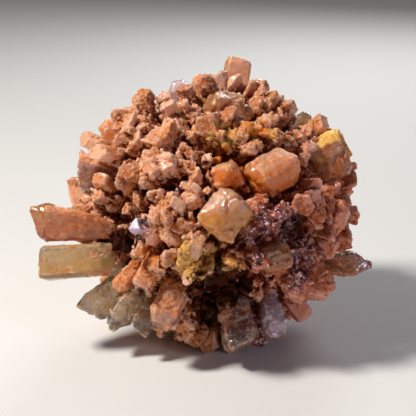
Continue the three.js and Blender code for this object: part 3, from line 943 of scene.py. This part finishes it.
class Nodes:
    """Short ways to add and link shader nodes."""

    def __init__(self, name):
        self.material = bpy.data.materials.new(name)
        self.material.use_nodes = True
        self.tree = self.material.node_tree
        self.shader = self.tree.nodes["Principled BSDF"]

    def put(self, source, target):
        self.tree.links.new(source, target)

    def new(self, kind):
        return self.tree.nodes.new(f"ShaderNode{kind}")

    def set(self, name, value):
        """One value all over the surface."""
        self.shader.inputs[name].default_value = value

    def mask(self, name):
        node = self.new("Attribute")
        node.attribute_name = name
        return node.outputs["Fac"]

    def noise(self, size, detail=3.0, distortion=0.0):
        """Noise whose features are about size metres, over the object's own coordinates."""
        place = self.new("TexCoord")
        node = self.new("TexNoise")
        node.inputs["Scale"].default_value = 1 / size
        node.inputs["Detail"].default_value = detail
        node.inputs["Distortion"].default_value = distortion
        self.put(place.outputs["Object"], node.inputs["Vector"])
        return node.outputs["Fac"]

    def ramp(self, value, stops):
        """Colours by value: stops are (position, colour)."""
        node = self.new("ValToRGB")
        elements = node.color_ramp.elements
        while len(elements) < len(stops):
            elements.new(0.5)
        for element, (position, colour) in zip(elements, stops):
            element.position = position
            element.color = (*colour, 1.0)
        self.put(value, node.inputs["Fac"])
        return node.outputs["Color"]

    def mix(self, factor, first, second, blend="MIX"):
        """A colour mixed from two; each is an output or a colour."""
        node = self.new("Mix")
        node.data_type = "RGBA"
        node.blend_type = blend
        self.fill(node.inputs["Factor"], factor)
        self.fill(node.inputs["A"], first)
        self.fill(node.inputs["B"], second)
        return node.outputs["Result"]

    def fill(self, socket, value):
        if isinstance(value, bpy.types.NodeSocket):
            self.put(value, socket)
        elif isinstance(value, tuple):
            socket.default_value = (*value, 1.0)
        else:
            socket.default_value = value

    def math(self, operation, first, second):
        node = self.new("Math")
        node.operation = operation
        node.use_clamp = True
        self.fill(node.inputs[0], first)
        self.fill(node.inputs[1], second)
        return node.outputs["Value"]

    def times(self, first, second):
        return self.math("MULTIPLY", first, second)

    def span(self, value, low, high):
        """A number from low, where value is 0, to high, where it is 1."""
        node = self.new("MapRange")
        node.inputs["To Min"].default_value = low
        node.inputs["To Max"].default_value = high
        self.put(value, node.inputs["Value"])
        return node.outputs["Result"]

    def steps(self, value, low, high):
        """0 where value is low and 1 where it is high, and smooth between."""
        node = self.new("MapRange")
        node.interpolation_type = "SMOOTHSTEP"
        node.inputs["From Min"].default_value = low
        node.inputs["From Max"].default_value = high
        self.put(value, node.inputs["Value"])
        return node.outputs["Result"]

    def bump(self, height, strength, distance):
        node = self.new("Bump")
        node.inputs["Strength"].default_value = strength
        node.inputs["Distance"].default_value = distance
        self.put(height, node.inputs["Height"])
        self.put(node.outputs["Normal"], self.shader.inputs["Normal"])


def clay_colour(nodes):
    """Peach-pink clay: broad patches and fine mottling, pale on edges as painted highlight, and
    red-brown in the hollows, partly its own colour and partly painted shade.
    """
    fine = nodes.noise(0.28 * MM, 4.0)
    broad = nodes.steps(nodes.noise(2.2 * MM), 0.42, 0.6)
    clay = nodes.mix(broad, nodes.ramp(fine, PINK_CLAY), nodes.ramp(fine, ORANGE_CLAY))
    tint = nodes.mask("tint")
    clay = nodes.mix(nodes.times(nodes.steps(tint, 0.5, 0.8), 0.6), clay, PALE_PINK)
    clay = nodes.mix(nodes.times(nodes.steps(tint, 0.42, 0.15), 0.7), clay, BRICK_RED)
    # Painted highlight: pale edges
    clay = nodes.mix(nodes.times(nodes.mask("edge"), 0.5), clay, PINK_WHITE_FROST_AND_HIGHLIGHT)
    return shaded_in_hollows(nodes, clay)


def shaded_in_hollows(nodes, colour):
    """A colour that turns orange-brown in shallow hollows and dark in deep ones: partly the clay's own
    colour and partly painted shade.
    """
    cavity_shade = nodes.mask("cavity_shade")
    colour = nodes.mix(nodes.times(nodes.steps(cavity_shade, 0.05, 0.5), 0.8), colour, ORANGE_BROWN_SHADE)
    return nodes.mix(nodes.times(nodes.steps(cavity_shade, 0.35, 1.0), 0.95), colour, RED_BROWN_SHADE)


def ochre_colour(nodes):
    """Yellow clay, dark brown in the hollows, partly its own colour and partly painted shade."""
    ochre = nodes.ramp(nodes.noise(0.3 * MM, 4.0), OCHRE_CLAY)
    return nodes.mix(nodes.times(nodes.mask("cavity_shade"), 0.94), ochre, DARK_OCHRE_SHADE)


def painted_glint_spots(nodes):
    """1 on small scattered flecks, where pale colour is painted as glints."""
    return nodes.steps(nodes.noise(0.42 * MM, 1.0, 0.8), 0.59, 0.64)


def shine(nodes, dust, rough, clean_coat):
    """Rough where dust lies, smooth where it is clean, with small clean spots that glint."""
    spots = nodes.steps(nodes.noise(0.3 * MM, 2.0), 0.6, 0.66)
    covered = nodes.math("SUBTRACT", dust, nodes.times(spots, 0.85))
    nodes.put(nodes.span(covered, rough, 0.95), nodes.shader.inputs["Roughness"])
    coat = nodes.times(nodes.math("SUBTRACT", 1.0, dust), clean_coat)
    coat = nodes.math("ADD", coat, nodes.times(spots, 0.8))
    nodes.put(coat, nodes.shader.inputs["Coat Weight"])
    nodes.set("Coat Roughness", 0.09)


def clean_colour(nodes):
    """The crust's crystals where they are clean: peach, with edges painted pale as highlight and
    painted shade in hollows; wine-coloured with painted glints in the violet patches; and pale
    lilac on the glint faces as painted highlight.
    """
    crystal = nodes.ramp(nodes.mask("tint"), CLEAN_CRYSTAL)
    # Painted highlight: pale edges
    crystal = nodes.mix(nodes.times(nodes.mask("edge"), 0.6), crystal, PINK_WHITE_FROST_AND_HIGHLIGHT)
    crystal = shaded_in_hollows(nodes, crystal)
    violet = nodes.mask("violet")
    wine = nodes.mix(nodes.steps(nodes.noise(1.2 * MM, 2.0), 0.45, 0.6), DARK_WINE, WINE)
    crystal = nodes.mix(nodes.times(violet, 0.95), crystal, wine)
    # Painted glints: pale lilac-white flecks in the violet patches
    crystal = nodes.mix(nodes.times(violet, painted_glint_spots(nodes)), crystal, GLINT_LILAC_WHITE)
    # Painted highlight: the glint faces are pale lilac
    return nodes.mix(nodes.mask("lilac"), crystal, GLINT_HIGHLIGHT_LILAC)


def dusty_material():
    """The crust: clay and dust over crystals, stained ochre and amber, with painted shade in the
    hollows and recesses, redder and darker on one side (partly its own colour, partly painted
    shade), painted glints in the violet patches and a painted highlight on the glint faces.
    """
    nodes = Nodes("dusty_crust")
    clay = nodes.mix(nodes.times(nodes.mask("ochre"), 0.85), clay_colour(nodes), ochre_colour(nodes))
    dust = nodes.mask("dust")
    colour = nodes.mix(dust, clean_colour(nodes), clay)
    colour = nodes.mix(nodes.times(nodes.mask("amber"), 0.8), colour, AMBER)
    # The redder side: partly redder clay, partly painted shade
    colour = nodes.mix(nodes.mask("wine"), colour, WINE_SHADE, "MULTIPLY")
    # Painted shade: the recesses are multiplied darker
    colour = nodes.mix(nodes.mask("recess"), colour, RECESS_SHADE, "MULTIPLY")
    nodes.put(colour, nodes.shader.inputs["Base Color"])
    shine(nodes, dust, 0.12, 0.7)
    nodes.set("Specular IOR Level", 0.12)
    nodes.set("Subsurface Weight", 0.1)
    nodes.set("Subsurface Radius", (1.0, 0.3, 0.1))
    nodes.set("Subsurface Scale", 0.45 * MM)
    nodes.bump(nodes.noise(0.24 * MM, 6.0), 1.0, 0.18 * MM)
    return nodes.material


def inside_colour(nodes, facts):
    """A crystal's colour: deep at the foot and, as painted glow and shade, low down and on downward
    faces; with streaks, veins, rust, edges painted pale as highlight, and painted glints.
    """
    veils = nodes.noise(1.3 * MM, 3.0, 0.6)
    # Deep colour at the foot, and painted glow and shade low down and on downward faces
    depth = nodes.math("ADD", nodes.mask("depth"), nodes.span(veils, -0.4, 0.4))
    inside = nodes.mix(depth, facts["tip"], facts["deep"])
    streaks = nodes.times(nodes.steps(nodes.mask("streak"), 0.5, 0.7), 0.22)
    inside = nodes.mix(streaks, inside, tuple(channel * 0.45 for channel in facts["deep"]))
    veins = nodes.noise(0.9 * MM, 2.0, 1.2)
    vein = nodes.times(nodes.steps(veins, 0.46, 0.5), nodes.steps(veins, 0.54, 0.5))
    inside = nodes.mix(nodes.times(vein, 0.3), inside, PALE_PEACH)
    rust = nodes.steps(nodes.noise(1.0 * MM, 5.0, 0.5), 0.58, 0.68)
    inside = nodes.mix(nodes.times(rust, facts["rust"]), inside, RUST)
    # Painted highlight: pale edges
    edge = nodes.times(nodes.mask("edge"), facts["edge_highlight"])
    inside = nodes.mix(edge, inside, EDGE_HIGHLIGHT_CREAM)
    # Painted glints: silvery flecks
    if facts["painted_glints"]:
        inside = nodes.mix(nodes.times(painted_glint_spots(nodes), facts["painted_glints"]), inside, GLINT_SILVER)
    return inside, edge


def add_absorption(nodes, facts):
    """Colour that light takes on inside a clear crystal."""
    absorb = nodes.new("VolumeAbsorption")
    absorb.inputs["Color"].default_value = (*facts["absorb"], 1.0)
    absorb.inputs["Density"].default_value = facts["density"]
    nodes.put(absorb.outputs["Volume"], nodes.tree.nodes["Material Output"].inputs["Volume"])


def crystal_material(look):
    """A large crystal: clear where it is clean, frosted in patches, and under clay where it is dusty."""
    facts = LOOKS[look]
    nodes = Nodes(f"{look}_crystal")
    crust = ochre_colour(nodes) if look == "ochre" else clay_colour(nodes)
    inside, edge = inside_colour(nodes, facts)
    frost_most = 0.4 * (1 - facts["clear"])
    frost = nodes.times(nodes.steps(nodes.noise(0.8 * MM, 5.0, 0.4), 0.48, 0.62), frost_most)
    inside = nodes.mix(frost, inside, nodes.mix(0.5, inside, PINK_WHITE_FROST_AND_HIGHLIGHT))
    dust = nodes.mask("dust")
    nodes.put(nodes.mix(dust, inside, crust), nodes.shader.inputs["Base Color"])
    clean = nodes.math("SUBTRACT", nodes.math("SUBTRACT", 1.0, dust), nodes.math("MAXIMUM", edge, frost))
    cloud = nodes.span(nodes.noise(1.6 * MM, 3.0, 0.4), facts["clear"] * 0.7, facts["clear"] * 1.2)
    nodes.put(nodes.times(clean, cloud), nodes.shader.inputs["Transmission Weight"])
    shine(nodes, dust, facts["rough"], 0.25 + 0.5 * facts["clear"])
    nodes.set("IOR", CRYSTAL_IOR)
    nodes.set("Subsurface Weight", 0.8)
    nodes.set("Subsurface Radius", (1.0, 0.42, 0.12))
    nodes.set("Subsurface Scale", CRYSTAL_SCATTER)
    nodes.bump(nodes.noise(0.3 * MM, 6.0), 0.8, 0.11 * MM)
    add_absorption(nodes, facts)
    return nodes.material


# The stage


def add_camera():
    """A camera that looks at the middle from the viewer's side."""
    camera = bpy.data.objects.new("camera", bpy.data.cameras.new("camera"))
    bpy.context.scene.collection.objects.link(camera)
    camera.data.lens = LENS
    camera.data.clip_start = 1 * MM
    place = MIDDLE + TO_VIEWER * CAMERA_DISTANCE + TO_RIGHT * AIM_RIGHT + TO_TOP * AIM_UP
    turn = Matrix((TO_RIGHT, TO_TOP, TO_VIEWER)).transposed()
    camera.matrix_world = Matrix.Translation(Vector(place)) @ turn.to_4x4()
    bpy.context.scene.camera = camera


def add_floor():
    """A square pale floor, 6 metres wide."""
    mesh = bpy.data.meshes.new("floor")
    corners = ((-1, -1, 0), (1, -1, 0), (1, 1, 0), (-1, 1, 0))
    mesh.from_pydata([Vector(corner) * FLOOR_HALF for corner in corners], [], [(0, 1, 2, 3)])
    floor = bpy.data.objects.new("floor", mesh)
    bpy.context.scene.collection.objects.link(floor)
    nodes = Nodes("pale_floor")
    nodes.set("Base Color", (*FLOOR_COLOUR, 1.0))
    nodes.set("Roughness", 0.8)
    mesh.materials.append(nodes.material)


def add_lamp(name, place, size, power, colour):
    """A square area light at a place that the viewer sees, in mm, aimed at the middle."""
    light = bpy.data.lights.new(name, "AREA")
    light.size = size * MM
    light.energy = power
    light.color = colour
    lamp = bpy.data.objects.new(name, light)
    bpy.context.scene.collection.objects.link(lamp)
    lamp.location = Vector(seen(place))
    lamp.rotation_euler = (lamp.location - Vector(MIDDLE)).to_track_quat("Z", "Y").to_euler()


def add_light():
    """The lamps and a weak light from all round."""
    for lamp in LAMPS:
        add_lamp(*lamp)
    world = bpy.data.worlds.new("studio")
    world.use_nodes = True
    background = world.node_tree.nodes["Background"]
    background.inputs["Color"].default_value = (*WORLD_COLOUR, 1.0)
    background.inputs["Strength"].default_value = WORLD_STRENGTH
    bpy.context.scene.world = world
    bpy.context.scene.view_settings.view_transform = "Standard"


def main():
    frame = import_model()
    nodes = frame["nodes"]
    add_camera()
    add_floor()
    add_light()

    for piece in make_crust(nodes, dusty_material()):
        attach(piece, "root")
        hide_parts("crystal_mass")

    materials = {look: crystal_material(look) for look in LOOKS}
    for number, (name, facts) in enumerate(CRYSTALS.items()):
        piece = make_crystal(number, name, nodes[name], facts, materials[facts[0]])
        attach(piece, "root")
        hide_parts(name)


main()
